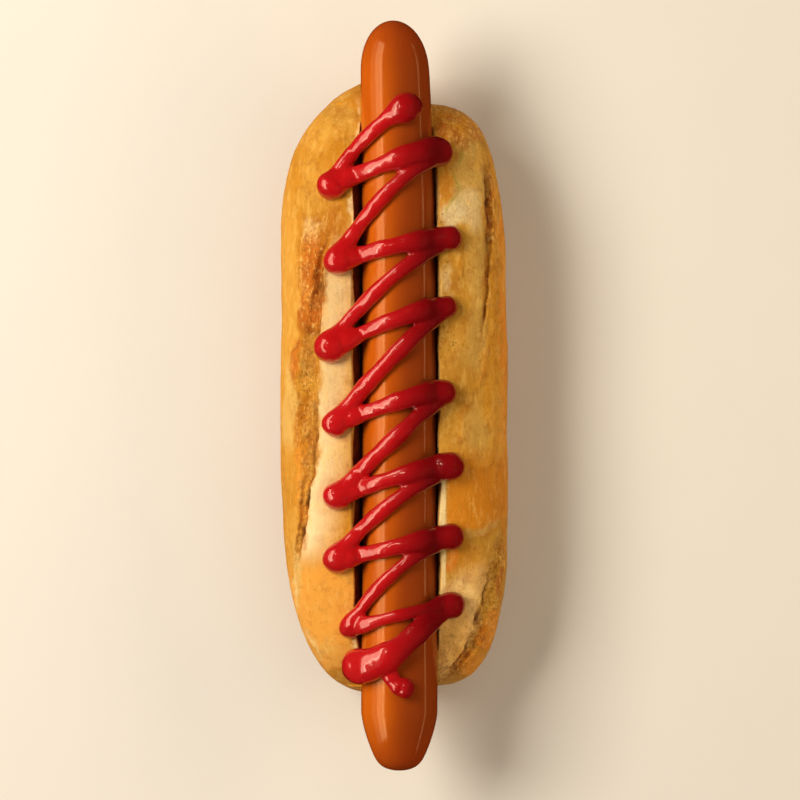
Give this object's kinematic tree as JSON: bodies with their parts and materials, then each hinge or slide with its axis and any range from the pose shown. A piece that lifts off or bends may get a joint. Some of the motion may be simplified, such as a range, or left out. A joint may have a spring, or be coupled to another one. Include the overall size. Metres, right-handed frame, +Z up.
{
  "type": "hot dog with ketchup",
  "caption": "Hot dog: a long cooked sausage lying in a crusty white roll split along its top, with a zigzag line of ketchup squeezed over both.",
  "frame": {"origin": "middle of the bounding box's base, on the plane that the roll's flat bottom rests on", "axes": "+Y along the sausage towards its round head, +Z up out of the roll's split top, +X to the right"},
  "size_m": [0.0732, 0.24, 0.0538],
  "materials": {
    "roll_crust": "baked golden crust, dry and slightly rough, paler and floury where it has torn open",
    "sausage_skin": "taut orange-brown cooked casing with a moist gloss",
    "ketchup_red": "thick wet tomato red with a high gloss"
  },
  "bodies": {
    "root": {"roll": "roll_crust", "sausage": "sausage_skin", "ketchup": "ketchup_red"}
  },
  "joints": []
}
